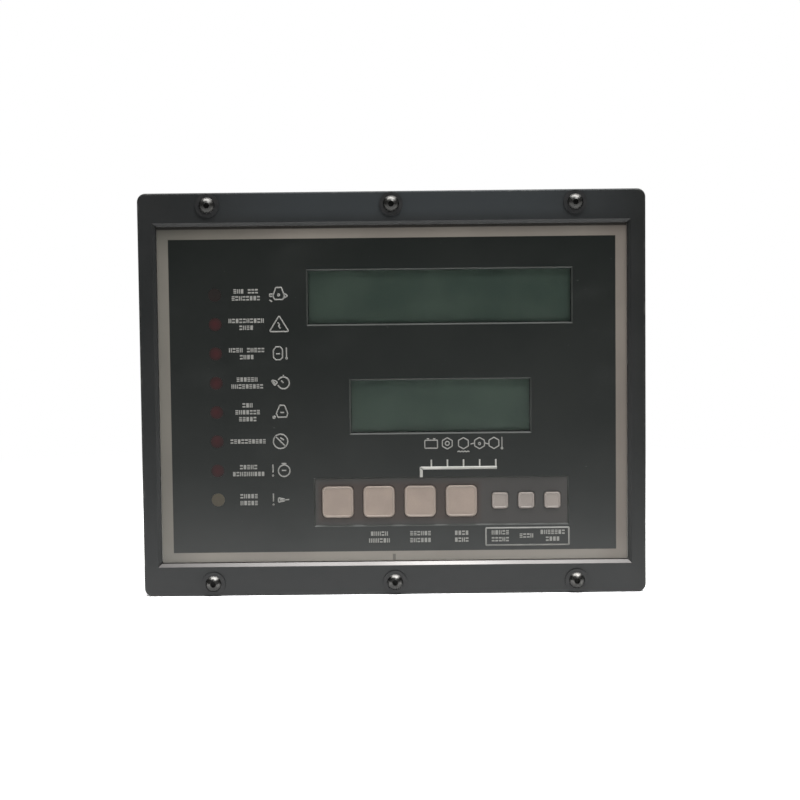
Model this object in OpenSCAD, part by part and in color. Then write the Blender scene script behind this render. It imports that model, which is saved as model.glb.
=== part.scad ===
// Panel-mounted generator controller: a cast bezel with a recessed, printed front, two displays,
// eight indicators and seven keys, over a stack of boards in a cast rear housing.
// Millimetres. The origin is the middle of the mounting plane, which is the back of the panel gasket.
// X is to the right, Y points into the cabinet and Z is up.

/* [Front face] */
// Width of the opening in the bezel
face_w = 280; // [276:1:320]
// Height of the opening in the bezel
face_h = 201.8; // [201.2:0.2:240]
// Thickness of the overlay
overlay_t = 1; // [0.6:0.1:2]
// Gap round the overlay in the opening
overlay_gap = 0.3; // [0.1:0.1:0.6]
// How far the cut-outs of the overlay narrow from front to back
cutout_bevel = 0.9; // [0.3:0.1:1]

/* [Bezel] */
// Thickness of the bezel
bezel_t = 8; // [7:0.5:12]
// Width of the flat side rails
side_rail = 8.5; // [8:0.5:14]
// Width of the flat top and bottom rails
end_rail = 17.6; // [16.4:0.1:22]
// Radius of the outer corners
bezel_corner_r = 5; // [3:0.5:8]
// Rounding of the outer front edge
bezel_edge_r = 1; // [0.4:0.1:2]
// Chamfer round the window
window_chamfer = 2; // [1:0.1:3]
// How far the rear rebate reaches past the opening
rebate_lap = 6; // [5.5:0.1:6.5]

/* [Panel screws] */
// Thread diameter of the panel screws
screw_d = 5; // [4:0.5:6]
// Diameter of the neck between head and thread, which lets the rings keep the screws in
screw_neck = 4.2; // [3.4:0.1:4.4]
// Diameter of the button heads
screw_head_d = 9.5; // [8.5:0.1:11]
// Height of the button heads
screw_head_h = 2.75; // [2.2:0.05:3.5]
// Width across the flats of the hex sockets
screw_key = 3; // [2.5:0.5:4]
// Depth of the hex sockets
screw_key_depth = 1.6; // [1:0.1:2]
// Distance between neighbouring screws of a row
screw_pitch = 109; // [100:1:120]
// Distance of each row from the edge of the bezel
screw_edge = 7.5; // [7.3:0.1:8]
// Length of the screws behind the mounting plane
screw_reach = 14; // [10:1:25]
// Diameter of the washers
washer_d = 14; // [12:0.1:14.4]
// Thickness of the washers
washer_t = 1.2; // [0.8:0.1:2]
// Radial play of a screw in its holes
screw_play = 0.25; // [0.1:0.05:0.4]
// Outer diameter of the retaining rings behind the bezel
retainer_d = 8; // [7.4:0.1:8.2]
// Thickness of the retaining rings
retainer_t = 1; // [0.6:0.1:1.2]

/* [Gaskets] */
// Thickness of the panel gasket
gasket_t = 1.5; // [1.2:0.1:3]
// Distance of the panel gasket from the edge of the bezel
gasket_inset = 1; // [0.5:0.1:1.5]
// Thickness of the seal round the rear housing
seal_t = 1; // [0.5:0.1:2]

/* [Carrier plate] */
// Thickness of the carrier plate, and depth of the rebate that takes it
carrier_t = 3; // [2.6:0.1:3.5]
// Gap round the carrier plate in its rebate
carrier_gap = 0.3; // [0.1:0.1:0.5]
// Gap between a piece and the cut-out that it sits in
seat_gap = 0.2; // [0.1:0.05:0.4]

/* [Displays] */
// Middle of the column of displays and keys
column_x = 28.2; // [20:0.1:32]
// Width of the upper window
upper_w = 158.7; // [140:0.1:164]
// Height of the upper window
upper_h = 33.8; // [30:0.1:36]
// Middle of the upper window
upper_y = 57.9; // [54:0.1:61]
// Width of the lower window
lower_w = 108.9; // [90:0.1:130]
// Height of the lower window
lower_h = 33.4; // [30:0.1:36]
// Middle of the lower window
lower_y = -7.7; // [-12:0.1:2]
// Thickness of the clear windows
window_t = 2; // [1:0.1:2.5]
// How far the clear windows reach past the cut-outs
window_lap = 1; // [0.5:0.1:2]
// Thickness of a display module
lcd_t = 6; // [5:0.1:7]
// Thickness of a display glass
lcd_glass_t = 2.2; // [1.5:0.1:2.6]
// Width of the border of a display frame
lcd_border = 6; // [5:0.1:7]
// Sheet thickness of a display frame
lcd_sheet = 1; // [0.6:0.1:1.5]
// How far the border of a display frame shows inside its window
lcd_inset = 1.2; // [0.4:0.1:2]

/* [Indicators] */
// Distance of the column of indicators from the left side of the opening
lamp_inset = 34.3; // [24:0.1:44]
// Height of the first indicator
lamp_top = 60; // [55:0.1:65]
// Distance between neighbouring indicators
lamp_pitch = 17.55; // [14:0.05:18]
// Diameter of the lenses
lamp_d = 7.8; // [6:0.1:9]
// How far the flange of a lens reaches past it
lamp_flange = 1; // [0.6:0.1:1.5]
// Thickness of the flange of a lens
lamp_flange_t = 1.5; // [1:0.1:2]
// Diameter of the light-emitting diodes
led_d = 5; // [3:0.1:5.2]
// Height of the light-emitting diodes
led_h = 8.6; // [6:0.1:9]

/* [Keypad] */
// Width of the keypad strip
keypad_w = 153; // [150:0.5:160]
// Height of the keypad strip
keypad_h = 29.6; // [28:0.1:33]
// Middle of the keypad strip
keypad_y = -65; // [-68:0.1:-62]
// Thickness of the keypad frame round the keys
keypad_plate = 2; // [1.5:0.1:2.4]
// How far the keypad frame reaches behind the overlay
keypad_lap = 1.5; // [1:0.1:2.5]
// Thickness of the keypad flange
keypad_flange = 2; // [1.5:0.1:2.5]
// Distance of the outer keys from the ends of the strip
key_margin = 5; // [4:0.1:6]
// Gap between the large keys and the small keys
key_group_gap = 9; // [6:0.5:12]
// Width of a large key
large_w = 18.7; // [15:0.1:19.5]
// Height of a large key
large_h = 18.8; // [15:0.1:21]
// Corner radius of a large key
large_r = 3.2; // [1:0.1:5]
// Width and height of a small key
small_w = 9.7; // [8:0.1:11]
// Corner radius of a small key
small_r = 1.9; // [0.9:0.1:3]
// Rounding of the keys' front edges
key_edge_r = 0.6; // [0.3:0.1:0.9]
// Width of the raised lip round the face of a key
key_lip = 1.4; // [1:0.1:1.8]
// Width of the slope from the lip down to the face of a key
key_slope = 0.5; // [0.2:0.1:0.8]
// Depth of the face of a key below its lip
key_dish = 0.3; // [0.1:0.1:0.5]
// How far the keys stand proud of the overlay
key_proud = 0.4; // [0.1:0.1:1.5]
// Travel of the keys
key_travel = 0.7; // [0.3:0.1:0.9]
// Side gap round a key
key_gap = 0.3; // [0.2:0.05:0.5]
// How far the rim of a key reaches behind the frame
key_rim = 1.4; // [1:0.1:1.5]
// Thickness of the rim of a key
key_rim_t = 1; // [0.6:0.1:1.2]
// Diameter of the stem of a key
key_stem_d = 4; // [3:0.1:5]
// Height that is left of a snap dome when its key is down
dome_flat = 0.3; // [0.1:0.1:0.5]
// Thickness of the dome film
dome_film = 0.25; // [0.15:0.05:0.4]

/* [Boards] */
// Gap between the edges of the two large boards and the housing
board_gap = 5; // [3:0.5:7]
// Thickness of every board
board_t = 1.6; // [1:0.1:2]
// Distance of the posts from the edges of the boards
post_inset = 5; // [4.5:0.1:6]
// Place of the single post left of the displays
post_x = -80; // [-85:0.5:-76]
// Gap between the screws of the display modules and the display board
display_gap = 0.7; // [0.5:0.1:3]
// Gap between the display board and the main board
stack_gap = 22; // [20:0.5:30]
// Gap between the main board and the back wall of the housing
rear_gap = 18; // [12:0.5:25]

/* [Rear housing] */
// Gap between the outer wall of the housing and the edge of the opening
housing_inset = 1; // [0.8:0.1:1.5]
// Wall thickness of the housing
housing_wall = 3; // [2.5:0.1:3.4]
// Thickness of the housing flange
flange_t = 3; // [2:0.1:4]
// Radius of the housing's upright corners
housing_corner_r = 8; // [6:0.5:12]
// Rounding of the housing's rear edge
housing_edge_r = 3; // [1:0.1:4]
// Diameter of the housing screws
fix_d = 3; // [2.5:0.1:3]
// Width of a cooling rib
rib_w = 3; // [2:0.1:5]
// Height of a cooling rib
rib_h = 3; // [1:0.1:6]
// Distance between neighbouring cooling ribs
rib_pitch = 13; // [9:0.5:16]
// Number of cooling ribs
rib_count = 7; // [3:1:7]

/* [Harness connector] */
// Height of the connector on the housing
connector_y = -58; // [-60:0.5:-52]
// Distance of the outer pins from the ends of the socket
pin_margin_x = 3; // [2:0.1:6]
// Distance of the outer pins from the long sides of the socket
pin_margin_y = 4.3; // [4:0.1:6]
// Wall of the shroud
shroud_wall = 2.4; // [1.5:0.1:2.6]
// Depth of the shroud
shroud_depth = 18; // [17:0.5:24]
// Length of the contact pins
pin_l = 10; // [7:0.5:11]
// Diameter of the contact pins
pin_d = 1.6; // [1:0.1:2]
// Distance between neighbouring pins
pin_pitch = 4.2; // [3.6:0.1:4.4]
// Thickness of the connector flange
connector_flange = 3; // [2:0.1:4]
// Thickness of the connector gasket
connector_seal = 1; // [0.5:0.1:2]
// Outer diameter of the jackscrew insert
insert_d = 8; // [7:0.1:8.4]
// Bore of the jackscrew insert
insert_bore = 4.2; // [3.3:0.1:5]

/* [Ground stud] */
// Diameter of the ground stud
ground_d = 6; // [5:0.5:8]
// Length of the ground stud behind the housing
ground_reach = 16; // [14:1:25]
// Distance of the stud from the corner of the housing
ground_inset = 20; // [18:0.5:26]

/* [Hidden] */
$fn = 64;
// How far a cut runs past the face that it opens
SKIN = 0.5;
// Diametral play of a screw in its thread and of a pressed piece in its hole
FIT = 0.1;

// Front view sizes
bezel_w = face_w + 2 * (window_chamfer + side_rail);
bezel_h = face_h + 2 * (window_chamfer + end_rail);
rebate_w = face_w + 2 * rebate_lap;
rebate_h = face_h + 2 * rebate_lap;
carrier_w = rebate_w - 2 * carrier_gap;
carrier_h = rebate_h - 2 * carrier_gap;
rebate_r = 2;
screw_row = bezel_h / 2 - screw_edge;
housing_w = face_w - 2 * housing_inset;
housing_h = face_h - 2 * housing_inset;
cavity_w = housing_w - 2 * housing_wall;
cavity_h = housing_h - 2 * housing_wall;
cavity_r = housing_corner_r - housing_wall;
board_w = cavity_w - 2 * board_gap;
board_h = cavity_h - 2 * board_gap;

// Small fasteners and their threads; skin_left is what a blind hole leaves of the wall in front of it
skin_left = 1;
thread_l = 6;
m3 = 3;
post_d = 7;
post_shank = 4;
post_shank_l = 2;
lcd_post_d = 5;
lcd_post_shank = 3.4;
small_d = 2.5;
small_head_d = 4.5;
small_head_h = 1.7;
m3_head_d = 5;
m3_head_h = 2;

// Levels, counted forward from the mounting plane
bezel_back = gasket_t;
bezel_front = bezel_back + bezel_t;
carrier_front = bezel_back + carrier_t;
face_front = carrier_front + overlay_t;
glass_front = bezel_back - lcd_sheet;
glass_back = glass_front - lcd_glass_t;
lcd_back = bezel_back - lcd_t;
lcd_board_back = lcd_back - board_t;
display_front = lcd_board_back - small_head_h - display_gap;
display_back = display_front - board_t;
main_front = display_back - stack_gap;
main_back = main_front - board_t;
wall_in = main_back - rear_gap;
wall_out = wall_in - housing_wall;
flange_front = bezel_back - seal_t;
flange_back = flange_front - flange_t;
plug_front = wall_out - connector_seal;
plug_floor = plug_front - connector_flange;
plug_mouth = plug_floor - shroud_depth;

// Places that several pieces share
PANEL_HOLES = [for (x = [-1, 0, 1], y = [-1, 1]) [x * screw_pitch, y * screw_row]];
UPPER = [column_x, upper_y, upper_w, upper_h];
LOWER = [column_x, lower_y, lower_w, lower_h];
led_rim = 0.4;
led_rim_t = 1;
lamp_x = lamp_inset - face_w / 2;
RED_LAMPS = [for (i = [0:6]) [lamp_x, lamp_top - i * lamp_pitch]];
AMBER_LAMP = [lamp_x, lamp_top - 7 * lamp_pitch];
fix_x = (face_w + rebate_w) / 4;
fix_y = (face_h + rebate_h) / 4;
fix_tip = bezel_front - window_chamfer;
FIXINGS = concat(
    [for (i = [-3, -1, 1, 3], s = [-1, 1]) [i * face_w / 8, s * fix_y]],
    [for (i = [-1, 1], s = [-1, 1]) [s * fix_x, i * face_h / 4]]
);
POSTS = concat(
    [for (sx = [-1, 1], sy = [-1, 1]) [sx * (board_w / 2 - post_inset), sy * (board_h / 2 - post_inset)]],
    [[post_x, 0], [board_w / 2 - post_inset, 0]]
);

// Display modules, worked out from their windows
function lcd_w(win) = win[2] + 2 * lcd_border;
function lcd_h(win) = win[3] + 2 * lcd_border;
lcd_ear = 6;
lcd_post_y = 8;
function lcd_posts(win) = [
    for (sx = [-1, 1], sy = [-1, 1])
        [win[0] + sx * (lcd_w(win) / 2 + lcd_ear / 2), win[1] + sy * (lcd_h(win) / 2 - lcd_post_y)]
];
LCD_POSTS = concat(lcd_posts(UPPER), lcd_posts(LOWER));

// Keypad, worked out from its strip
keypad_body_w = keypad_w + 2 * keypad_lap;
keypad_body_h = keypad_h + 2 * keypad_lap;
keypad_ear = 10;
keypad_brim = 3;
KEYPAD_FIXINGS = [
    for (sx = [-1, 1], sy = [-1, 1])
        [column_x + sx * (keypad_body_w / 2 + keypad_ear / 2), keypad_y + sy * keypad_body_h / 3]
];
keypad_back = bezel_back - keypad_flange;
plate_back = carrier_front - keypad_plate;
key_seat = 0.05;
dome_h = key_travel + dome_flat;
large_dome_r = large_w / 4;
small_dome_r = small_w / 3;
rim_front = plate_back - key_seat;
key_front = face_front + key_proud;
stem_end = display_front + dome_h + FIT;
large_count = 4;
small_count = 3;
key_space = (keypad_w - 2 * key_margin - large_count * large_w - key_group_gap - small_count * small_w)
    / (large_count + small_count - 2);
first_large = column_x - keypad_w / 2 + key_margin + large_w / 2;
last_small = column_x + keypad_w / 2 - key_margin - small_w / 2;
LARGE_KEYS = [for (i = [0:large_count - 1]) [first_large + i * (large_w + key_space), keypad_y]];
SMALL_KEYS = [for (i = [small_count - 1:-1:0]) [last_small - i * (small_w + key_space), keypad_y]];

// Harness connector
insert_wall = 1.8;
insert_l = 9;
pin_rows = 4;
pin_columns = 5;
pin_clear = 2;
pin_start = insert_d / 2 + insert_wall + pin_clear;
socket_w = 2 * (pin_start + (pin_columns - 1) * pin_pitch + pin_margin_x);
socket_h = (pin_rows - 1) * pin_pitch + 2 * pin_margin_y;
shroud_w = socket_w + 2 * shroud_wall;
shroud_h = socket_h + 2 * shroud_wall;
// Ribs on the long sides of the socket, two above and one below, so that a plug goes in one way round
PLUG_RIBS = [[-socket_w / 4, 1], [socket_w / 4, 1], [0, -1]];
plug_rib_w = 2.4;
plug_rib_h = 1.4;
plug_rib_l = 9;
cover_brim_x = 9;
cover_brim_y = 6;
cover_w = shroud_w + 2 * cover_brim_x;
cover_h = shroud_h + 2 * cover_brim_y;
cover_r = 4;
shroud_r = 3;
cover_fix_inset = 4.5;
COVER_FIXINGS = [
    for (sx = [-1, 1], sy = [-1, 1])
        [sx * (cover_w / 2 - cover_fix_inset), connector_y + sy * (cover_h / 2 - cover_fix_inset)]
];
boss_d = 8;
boss_l = 7;
GROUND = [housing_w / 2 - ground_inset, -housing_h / 2 + ground_inset];
rib_top = 10;
ground_washer_t = 1.6;
ground_nut_h = 5;
ground_nut_wall = 2;
ground_flats = ground_d + 2 * ground_nut_wall;
ground_head_h = 2;

// Components on the main board
relay_size = [15.5, 19, 15];
relay_pitch = 24;
coil_size = [18, 16, 17];
coil_pitch = 26;
chip_size = [24, 24, 3.6];
chip_pitch = 36;
can_d = 16;
can_h = 18;
can_pitch = 22;

// Everything is drawn as seen from the front, with Z towards the viewer, and then stood upright.
module stand() { rotate([90, 0, 0]) children(); }

module at(places) { for (p = places) translate([p[0], p[1], 0]) children(); }

// A straight rod along Z, between two levels
module rod(d, low, high) { translate([0, 0, low]) cylinder(d = d, h = high - low); }

// A square block centred on Z, between two levels
module block(w, h, low, high) { translate([-w / 2, -h / 2, low]) cube([w, h, high - low]); }

module rounded_rect(w, h, r) {
    square([w - 2 * r, h], center = true);
    square([w, h - 2 * r], center = true);
    for (sx = [-1, 1], sy = [-1, 1])
        translate([sx * (w / 2 - r), sy * (h / 2 - r)]) circle(r);
}

// A plate with round corners, between two levels
module plate(w, h, r, low, high) {
    translate([0, 0, low]) linear_extrude(high - low) rounded_rect(w, h, r);
}

// Half a section of a plate, with its upper outer edge rounded
module edge_section(reach, t, e) {
    square([reach - e, t]);
    square([reach, t - e]);
    translate([reach - e, t - e]) circle(e);
}

// A plate with round corners and a rounded front edge, standing on Z = 0
module soft_plate(w, h, t, r, e) {
    rotate([90, 0, 90]) linear_extrude(w - 2 * r, center = true) {
        edge_section(h / 2, t, e);
        mirror([1, 0]) edge_section(h / 2, t, e);
    }
    for (s = [0, 1]) mirror([s, 0, 0]) {
        translate([w / 2 - r, 0, 0]) rotate([90, 0, 0])
            linear_extrude(h - 2 * r, center = true) edge_section(r, t, e);
        for (u = [0, 1]) mirror([0, u, 0]) translate([w / 2 - r, h / 2 - r, 0])
            rotate_extrude(angle = 90) edge_section(r, t, e);
    }
}

// A rectangular cut from w by h at Z = 0, widened by grow on each side at the height t
module flared_cut(w, h, t, grow) {
    top = t + SKIN;
    out = grow * top / t;
    intersection() {
        rotate([90, 0, 0]) linear_extrude(h + 4 * out, center = true)
            polygon([[-w / 2, 0], [w / 2, 0], [w / 2 + out, top], [-w / 2 - out, top]]);
        rotate([90, 0, 90]) linear_extrude(w + 4 * out, center = true)
            polygon([[-h / 2, 0], [h / 2, 0], [h / 2 + out, top], [-h / 2 - out, top]]);
    }
}

// A cut with round corners, w by h at Z = 0 and widened by grow on each side at the height t
module dish_cut(w, h, r, t, grow) {
    top = t + SKIN;
    out = grow * top / t;
    for (side = [[w, h, 0], [h, w, 90]]) rotate(side[2]) rotate([90, 0, 0])
        linear_extrude(side[1] - 2 * r, center = true)
            polygon([[-side[0] / 2, 0], [side[0] / 2, 0], [side[0] / 2 + out, top], [-side[0] / 2 - out, top]]);
    for (sx = [-1, 1], sy = [-1, 1]) translate([sx * (w / 2 - r), sy * (h / 2 - r), 0])
        cylinder(r1 = r, r2 = r + out, h = top);
}

// A screw with its head behind the level seat and its shank forward to the level tip
module rear_screw(d, head_d, head_h, seat, tip) {
    difference() {
        translate([0, 0, seat]) mirror([0, 0, 1])
            rotate_extrude() edge_section(head_d / 2, head_h, head_h / 3);
        translate([0, 0, seat - head_h - SKIN]) cylinder(d = d * 0.8, h = SKIN + head_h * 0.6, $fn = 6);
    }
    rod(d, seat, tip);
}

module bezel() color([0.18, 0.18, 0.19]) stand() difference() {
    translate([0, 0, bezel_back]) soft_plate(bezel_w, bezel_h, bezel_t, bezel_corner_r, bezel_edge_r);
    block(face_w, face_h, bezel_back - SKIN, bezel_front + SKIN);
    translate([0, 0, bezel_front - window_chamfer])
        flared_cut(face_w, face_h, window_chamfer, window_chamfer);
    plate(rebate_w, rebate_h, rebate_r, bezel_back - SKIN, carrier_front);
    at(PANEL_HOLES) rod(screw_d + 2 * screw_play, bezel_back - SKIN, bezel_front + SKIN);
    at(FIXINGS) rod(fix_d + FIT, carrier_front - SKIN, fix_tip + FIT);
}

module panel_screws() color([0.16, 0.16, 0.17]) stand() at(PANEL_HOLES) panel_screw();
module panel_screw() {
    seat = bezel_front + washer_t;
    dome_r = (pow(screw_head_d / 2, 2) + pow(screw_head_h, 2)) / (2 * screw_head_h);
    difference() {
        intersection() {
            translate([0, 0, seat + screw_head_h - dome_r]) sphere(dome_r);
            rod(2 * screw_head_d, seat, seat + 2 * screw_head_h);
        }
        translate([0, 0, seat + screw_head_h - screw_key_depth])
            cylinder(d = screw_key / cos(30), h = screw_key_depth + SKIN, $fn = 6);
    }
    rod(screw_neck, 0, seat);
    rod(screw_d, -screw_reach, 0);
}

module panel_screw_washers() color([0.2, 0.2, 0.21]) stand() at(PANEL_HOLES) difference() {
    rod(washer_d, bezel_front, bezel_front + washer_t);
    rod(screw_d + 2 * screw_play, bezel_front - SKIN, bezel_front + washer_t + SKIN);
}

module screw_retainers() color([0.85, 0.84, 0.8]) stand() at(PANEL_HOLES) difference() {
    rod(retainer_d, bezel_back - retainer_t, bezel_back);
    rod(screw_neck + FIT, bezel_back - retainer_t - SKIN, bezel_back + SKIN);
}

module panel_gasket() color([0.1, 0.1, 0.1]) stand() difference() {
    plate(bezel_w - 2 * gasket_inset, bezel_h - 2 * gasket_inset, bezel_corner_r - gasket_inset, 0, gasket_t);
    plate(rebate_w + 2 * seat_gap, rebate_h + 2 * seat_gap, rebate_r, -SKIN, gasket_t + SKIN);
    at(PANEL_HOLES) rod(retainer_d + 2 * seat_gap, -SKIN, gasket_t + SKIN);
}

// A bevelled cut-out of the overlay, given as x, y, width and height at the front
module cutout(win) {
    translate([win[0], win[1], carrier_front]) {
        flared_cut(win[2] - 2 * cutout_bevel, win[3] - 2 * cutout_bevel, overlay_t, cutout_bevel);
        block(win[2] - 2 * cutout_bevel, win[3] - 2 * cutout_bevel, -SKIN, SKIN);
    }
}

module front_overlay() color([0.22, 0.22, 0.22]) stand() difference() {
    block(face_w - 2 * overlay_gap, face_h - 2 * overlay_gap, carrier_front, face_front);
    cutout(UPPER);
    cutout(LOWER);
    cutout([column_x, keypad_y, keypad_w, keypad_h]);
    at(concat(RED_LAMPS, [AMBER_LAMP])) rod(lamp_d + FIT, carrier_front - SKIN, face_front + SKIN);
}

module clear_window(win) {
    translate([win[0], win[1], 0])
        block(win[2] + 2 * window_lap, win[3] + 2 * window_lap, carrier_front - window_t, carrier_front);
}
module upper_window() color([0.75, 0.8, 0.78, 0.35]) stand() clear_window(UPPER);
module lower_window() color([0.75, 0.8, 0.78, 0.35]) stand() clear_window(LOWER);

module lens() {
    rod(lamp_d + 2 * lamp_flange, carrier_front - lamp_flange_t, carrier_front);
    rod(lamp_d, carrier_front, face_front);
}
module red_lenses() color([0.3, 0.12, 0.13]) stand() at(RED_LAMPS) lens();
module amber_lens() color([0.42, 0.36, 0.28]) stand() at([AMBER_LAMP]) lens();

module keypad_frame() color([0.26, 0.25, 0.24]) stand() difference() {
    translate([column_x, keypad_y, 0]) difference() {
        union() {
            block(keypad_body_w, keypad_body_h, bezel_back, carrier_front);
            block(keypad_body_w + 2 * keypad_ear, keypad_body_h + 2 * keypad_brim, keypad_back, bezel_back);
        }
        block(keypad_w - 2 * keypad_lap, keypad_h - 2 * keypad_lap, keypad_back - SKIN, plate_back);
    }
    at(LARGE_KEYS) key_hole(large_w, large_h, large_r);
    at(SMALL_KEYS) key_hole(small_w, small_w, small_r);
    at(KEYPAD_FIXINGS) rod(small_d + 2 * FIT, keypad_back - SKIN, bezel_back + SKIN);
}
module key_hole(w, h, r) {
    plate(w + 2 * key_gap, h + 2 * key_gap, r + key_gap, plate_back - SKIN, carrier_front + SKIN);
}

module keypad_screws() color([0.7, 0.7, 0.7]) stand() at(KEYPAD_FIXINGS)
    rear_screw(small_d, small_head_d, small_head_h, keypad_back, carrier_front - skin_left);

// A key: a soft-edged cap with a sunk face, the rim that holds it behind the frame, and the stem over its dome
module key(w, h, r) {
    difference() {
        translate([0, 0, rim_front]) soft_plate(w, h, key_front - rim_front, r, key_edge_r);
        translate([0, 0, key_front - key_dish])
            dish_cut(w - 2 * key_lip, h - 2 * key_lip, max(r - key_lip, key_dish), key_dish, key_slope);
    }
    plate(w + 2 * key_rim, h + 2 * key_rim, r, rim_front - key_rim_t, rim_front);
    rod(key_stem_d, stem_end, rim_front - key_rim_t);
}
module key_large(i) color([0.64, 0.59, 0.55]) stand() at([LARGE_KEYS[i - 1]]) key(large_w, large_h, large_r);
module key_small(i) color([0.64, 0.59, 0.55]) stand() at([SMALL_KEYS[i - 1]]) key(small_w, small_w, small_r);

// A snap dome over the display board, as a ball that the film's own level cuts
module dome(base_r, cut) {
    ball_r = (base_r * base_r + dome_h * dome_h) / (2 * dome_h);
    translate([0, 0, display_front + dome_h - ball_r]) sphere(ball_r - cut);
}
module domes(cut) {
    at(LARGE_KEYS) dome(large_dome_r, cut);
    at(SMALL_KEYS) dome(small_dome_r, cut);
}
module dome_sheet(t) {
    translate([column_x, keypad_y, 0]) block(keypad_w, keypad_h, display_front, display_front + t);
}
module dome_array() color([0.75, 0.75, 0.72]) stand() difference() {
    union() {
        dome_sheet(dome_film);
        intersection() {
            domes(0);
            dome_sheet(2 * dome_h);
        }
    }
    domes(dome_film);
}

module carrier_plate() color([0.7, 0.7, 0.68]) stand() difference() {
    plate(carrier_w, carrier_h, rebate_r, bezel_back, carrier_front);
    for (win = [UPPER, LOWER]) translate([win[0], win[1], 0])
        through(win[2] + 2 * (window_lap + seat_gap), win[3] + 2 * (window_lap + seat_gap));
    translate([column_x, keypad_y, 0]) through(keypad_body_w + 2 * seat_gap, keypad_body_h + 2 * seat_gap);
    at(concat(RED_LAMPS, [AMBER_LAMP])) {
        rod(lamp_d + 2 * (lamp_flange + seat_gap), carrier_front - lamp_flange_t, carrier_front + SKIN);
        rod(led_d + 2 * led_rim, bezel_back - SKIN, carrier_front);
    }
    at(FIXINGS) rod(fix_d + 2 * seat_gap, bezel_back - SKIN, carrier_front + SKIN);
    at(POSTS) rod(post_shank + FIT, bezel_back - SKIN, bezel_back + post_shank_l);
    at(LCD_POSTS) rod(lcd_post_shank + FIT, bezel_back - SKIN, bezel_back + post_shank_l);
    at(KEYPAD_FIXINGS) rod(small_d + FIT, bezel_back - SKIN, carrier_front - skin_left + FIT);
}
module through(w, h) { block(w, h, bezel_back - SKIN, carrier_front + SKIN); }

// Display module: a sheet frame round the glass and the backlight, on a board with four ears
module lcd_pocket(win, low, high, gap) {
    block(lcd_w(win) - 2 * (lcd_sheet + gap), lcd_h(win) - 2 * (lcd_sheet + gap), low, high);
}
module lcd_frame(win) translate([win[0], win[1], 0]) difference() {
    block(lcd_w(win), lcd_h(win), lcd_back, bezel_back);
    lcd_pocket(win, lcd_back - SKIN, glass_front, 0);
    block(win[2] - 2 * lcd_inset, win[3] - 2 * lcd_inset, lcd_back, bezel_back + SKIN);
}
module lcd_glass(win) translate([win[0], win[1], 0]) lcd_pocket(win, glass_back, glass_front, seat_gap);
module lcd_backlight(win) translate([win[0], win[1], 0]) lcd_pocket(win, lcd_back, glass_back, seat_gap);
module lcd_board(win) difference() {
    translate([win[0], win[1], 0]) block(lcd_w(win) + 2 * lcd_ear, lcd_h(win), lcd_board_back, lcd_back);
    at(lcd_posts(win)) rod(small_d + 2 * FIT, lcd_board_back - SKIN, lcd_back + SKIN);
}
module upper_lcd_frame() color([0.12, 0.13, 0.13]) stand() lcd_frame(UPPER);
module upper_lcd_glass() color([0.26, 0.3, 0.27]) stand() lcd_glass(UPPER);
module upper_lcd_backlight() color([0.9, 0.9, 0.88]) stand() lcd_backlight(UPPER);
module upper_lcd_board() color([0.1, 0.35, 0.2]) stand() lcd_board(UPPER);
module lower_lcd_frame() color([0.12, 0.13, 0.13]) stand() lcd_frame(LOWER);
module lower_lcd_glass() color([0.26, 0.3, 0.27]) stand() lcd_glass(LOWER);
module lower_lcd_backlight() color([0.9, 0.9, 0.88]) stand() lcd_backlight(LOWER);
module lower_lcd_board() color([0.1, 0.35, 0.2]) stand() lcd_board(LOWER);

module lcd_standoffs() color([0.75, 0.7, 0.5]) stand() at(LCD_POSTS) difference() {
    union() {
        rod(lcd_post_d, lcd_back, bezel_back);
        rod(lcd_post_shank, bezel_back, bezel_back + post_shank_l);
    }
    rod(small_d + FIT, lcd_back - SKIN, bezel_back - skin_left);
}
module lcd_screws() color([0.7, 0.7, 0.7]) stand() at(LCD_POSTS)
    rear_screw(small_d, small_head_d, small_head_h, lcd_board_back, bezel_back - 2 * skin_left);

// Pin strips between the display modules and the board behind them
module lcd_headers() color([0.1, 0.1, 0.1]) stand() for (win = [UPPER, LOWER])
    translate([win[0], win[1] + lcd_h(win) / 2 - lcd_border, 0])
        block(lcd_h(win), small_d, display_front, lcd_board_back);

module display_board() color([0.1, 0.35, 0.2]) stand() difference() {
    block(board_w, board_h, display_back, display_front);
    at(POSTS) rod(m3 + 2 * seat_gap, display_back - SKIN, display_front + SKIN);
}

module led() {
    translate([0, 0, display_front]) rotate_extrude() {
        square([led_d / 2 + led_rim, led_rim_t]);
        square([led_d / 2, led_h - led_d / 2]);
        translate([0, led_h - led_d / 2]) intersection() {
            circle(led_d / 2);
            square(led_d / 2);
        }
    }
}
module red_leds() color([0.6, 0.1, 0.1]) stand() at(RED_LAMPS) led();
module amber_led() color([0.8, 0.5, 0.1]) stand() at([AMBER_LAMP]) led();

module board_standoffs() color([0.75, 0.7, 0.5]) stand() at(POSTS) difference() {
    union() {
        rod(post_d, display_front, bezel_back);
        rod(post_shank, bezel_back, bezel_back + post_shank_l);
    }
    rod(m3 + FIT, display_front - SKIN, bezel_back - skin_left);
}
module board_spacers() color([0.75, 0.7, 0.5]) stand() at(POSTS) difference() {
    union() {
        translate([0, 0, main_front]) cylinder(d = post_d, h = stack_gap, $fn = 6);
        rod(m3, display_back, display_front + thread_l);
    }
    rod(m3 + FIT, main_front - SKIN, main_front + stack_gap / 2);
}
module board_screws() color([0.7, 0.7, 0.7]) stand() at(POSTS)
    rear_screw(m3, m3_head_d, m3_head_h, main_back, main_front + thread_l);

module main_board() color([0.1, 0.35, 0.2]) stand() difference() {
    block(board_w, board_h, main_back, main_front);
    at(POSTS) rod(m3 + 2 * seat_gap, main_back - SKIN, main_front + SKIN);
}
module board_link() color([0.1, 0.1, 0.1]) stand()
    translate([board_w / 4, board_h / 2 - 2 * post_inset, 0])
        block(board_w / 5, post_inset, main_front, display_back);

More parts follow.
